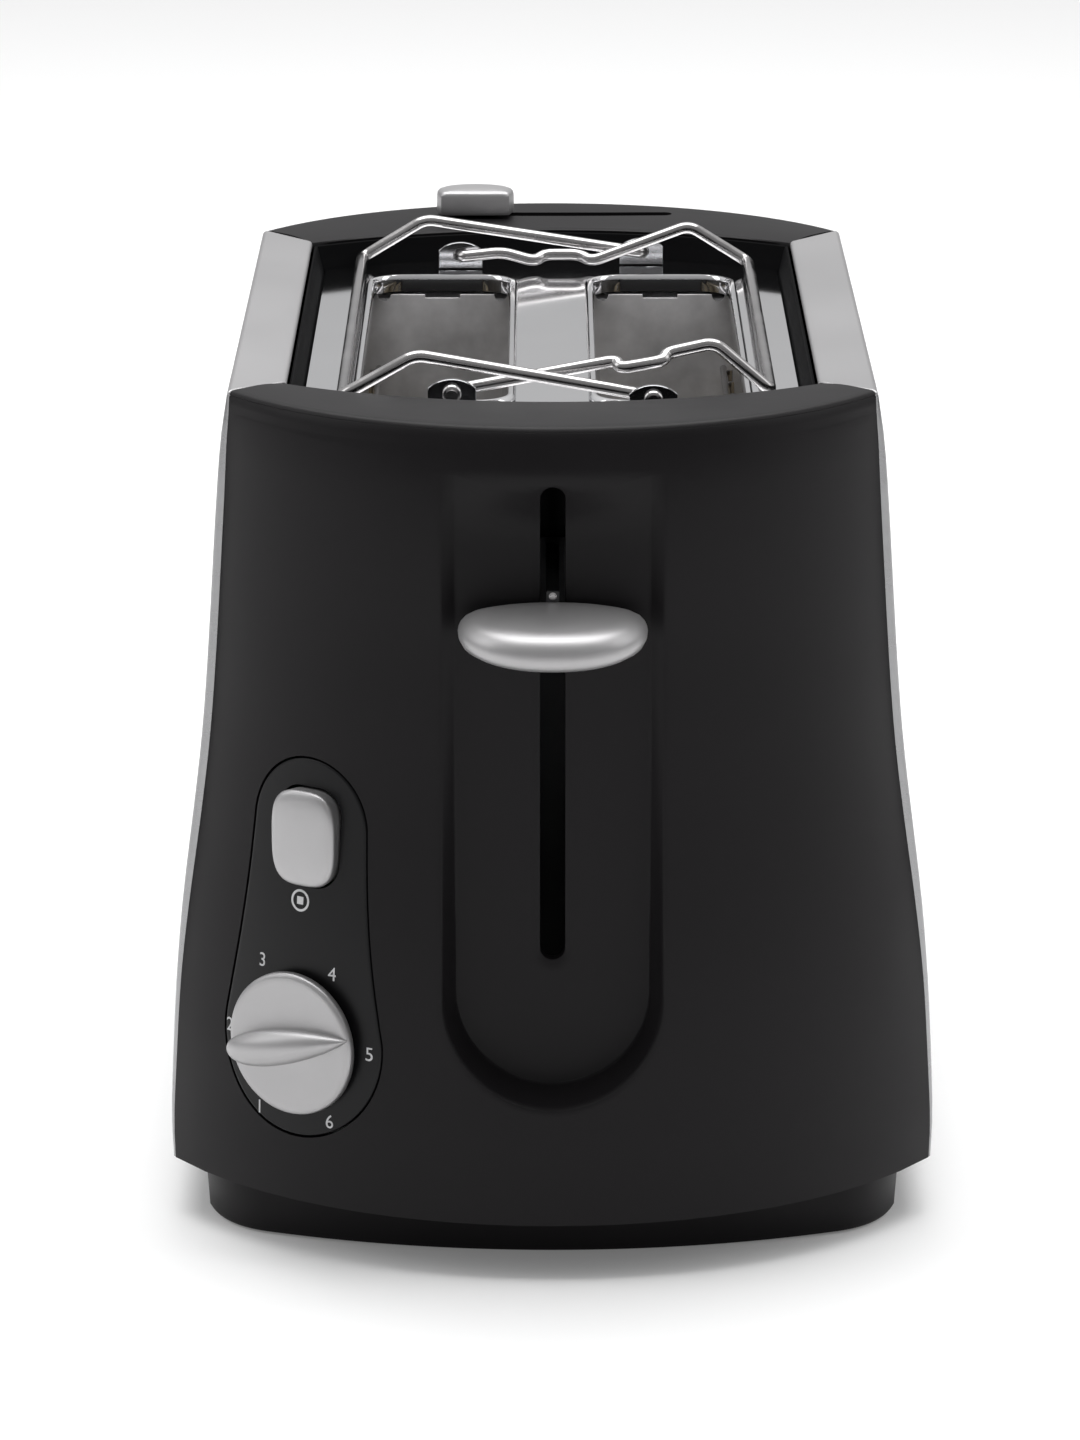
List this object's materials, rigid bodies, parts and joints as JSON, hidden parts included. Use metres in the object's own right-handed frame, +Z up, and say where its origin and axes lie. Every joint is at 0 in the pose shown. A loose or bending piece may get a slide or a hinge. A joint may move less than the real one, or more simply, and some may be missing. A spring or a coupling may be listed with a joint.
{
  "type": "pop-up toaster",
  "caption": "Two-slot pop-up toaster with satin silver sides, bowed black end caps, a front lever and a fold-up bun rack on top.",
  "frame": {"origin": "bottom centre of the bounding box, on the surface that the feet stand on", "axes": "+Z up, -Y towards the lever end, so the bread slots run along Y, +X to the right when facing the lever"},
  "size_m": [0.181, 0.3184, 0.2083],
  "materials": {
    "black_shell": "satin moulded black plastic",
    "gloss_insert": "gloss black plastic",
    "silver_panel": "fine satin metallic silver",
    "silver_controls": "satin metallic silver plastic",
    "mirror_plate": "polished stainless steel",
    "chrome_wire": "bright chrome plate",
    "galvanised": "dull galvanised sheet steel",
    "black_tab": "black painted steel",
    "mica": "mica sheet with a faint flaky sheen",
    "heating_wire": "dull resistance ribbon",
    "rubber": "matt black rubber",
    "circuit": "green laminate"
  },
  "bodies": {
    "housing": {"front_cap": "black_shell", "rear_cap": "black_shell", "top_frame": "black_shell", "base_tray": "black_shell", "control_insert": "gloss_insert", "left_panel": "silver_panel", "right_panel": "silver_panel", "top_plate": "mirror_plate", "rack_bracket_front_left": "mirror_plate", "rack_bracket_front_right": "mirror_plate", "rack_bracket_rear_left": "mirror_plate", "rack_bracket_rear_right": "mirror_plate", "slot_rim_left": "chrome_wire", "slot_rim_right": "chrome_wire", "chassis_base": "galvanised", "front_chassis_plate": "galvanised", "rear_chassis_plate": "galvanised", "heat_shield_left": "galvanised", "heat_shield_right": "galvanised", "guide_rod": "galvanised", "lift_spring": "galvanised", "electromagnet": "galvanised", "base_screw_front_left": "galvanised", "base_screw_front_right": "galvanised", "base_screw_rear_left": "galvanised", "base_screw_rear_right": "galvanised", "potentiometer": "black_tab", "stop_switch": "black_tab", "heater_board_left": "mica", "heater_board_centre": "mica", "heater_board_right": "mica", "heating_element_left": "heating_wire", "heating_element_centre_left": "heating_wire", "heating_element_centre_right": "heating_wire", "heating_element_right": "heating_wire", "foot_front_left": "rubber", "foot_front_right": "rubber", "foot_rear_left": "rubber", "foot_rear_right": "rubber", "cord_gland": "rubber", "circuit_board": "circuit"},
    "carriage": {"lever_knob": "silver_controls", "lever_arm": "galvanised", "carriage_bracket": "galvanised", "armature_plate": "galvanised", "bread_lifter_left": "galvanised", "bread_lifter_right": "galvanised"},
    "guard_left_outer": {"bread_guard_left_outer": "chrome_wire"},
    "guard_left_inner": {"bread_guard_left_inner": "chrome_wire"},
    "guard_right_inner": {"bread_guard_right_inner": "chrome_wire"},
    "guard_right_outer": {"bread_guard_right_outer": "chrome_wire"},
    "stop_control": {"stop_button": "silver_controls"},
    "browning_control": {"browning_knob": "silver_controls", "dial_shaft": "galvanised"},
    "rack_left": {"rack_frame_left": "chrome_wire"},
    "rack_right": {"rack_frame_right": "chrome_wire"},
    "rack_slide": {"rack_knob": "silver_controls", "rack_slider": "black_tab"},
    "tray": {"crumb_tray": "galvanised"}
  },
  "joints": [
    {"name": "carriage_slide", "type": "slide", "parent": "housing", "child": "carriage", "axis": [0, 0, 1], "range_m": [-0.0755, 0.022], "deforming": ["lift_spring"]},
    {"name": "guard_left_outer_slide", "type": "slide", "parent": "housing", "child": "guard_left_outer", "axis": [1, 0, 0], "range_m": [-0.0017, 0.0059]},
    {"name": "guard_left_inner_slide", "type": "slide", "parent": "housing", "child": "guard_left_inner", "axis": [-1, 0, 0], "range_m": [-0.0017, 0.0059]},
    {"name": "guard_right_inner_slide", "type": "slide", "parent": "housing", "child": "guard_right_inner", "axis": [1, 0, 0], "range_m": [-0.0017, 0.0059]},
    {"name": "guard_right_outer_slide", "type": "slide", "parent": "housing", "child": "guard_right_outer", "axis": [-1, 0, 0], "range_m": [-0.0017, 0.0059]},
    {"name": "stop_press", "type": "slide", "parent": "housing", "child": "stop_control", "axis": [0.5446, 0.8387, 0], "range_m": [0, 0.002], "stiffness_N_per_m": 600},
    {"name": "browning_turn", "type": "hinge", "parent": "housing", "child": "browning_control", "pos_m": [-0.0594, -0.12619, 0.0523], "axis": [-0.5446, -0.8387, 0], "range_deg": [-72.3, 227.7]},
    {"name": "rack_knob_slide", "type": "slide", "parent": "housing", "child": "rack_slide", "axis": [1, 0, 0], "range_m": [0, 0.046]},
    {"name": "rack_left_hinge", "type": "hinge", "parent": "housing", "child": "rack_left", "pos_m": [0.0235, 0.00685, 0.1958], "axis": [0, 1, 0], "range_deg": [0, 45]},
    {"name": "rack_right_hinge", "type": "hinge", "parent": "housing", "child": "rack_right", "pos_m": [-0.0235, 0.00685, 0.1958], "axis": [0, -1, 0], "range_deg": [0, 45]},
    {"name": "tray_slide", "type": "slide", "parent": "housing", "child": "tray", "axis": [0, 1, 0], "range_m": [0, 0.17]}
  ],
  "couplings": [
    {"joint": "guard_left_outer_slide", "follows": "carriage_slide", "ratio": -0.077},
    {"joint": "guard_left_inner_slide", "follows": "carriage_slide", "ratio": -0.077},
    {"joint": "guard_right_inner_slide", "follows": "carriage_slide", "ratio": -0.077},
    {"joint": "guard_right_outer_slide", "follows": "carriage_slide", "ratio": -0.077},
    {"joint": "rack_left_hinge", "follows": "rack_knob_slide", "rad_per_m": 17.07},
    {"joint": "rack_right_hinge", "follows": "rack_knob_slide", "rad_per_m": 17.07}
  ]
}
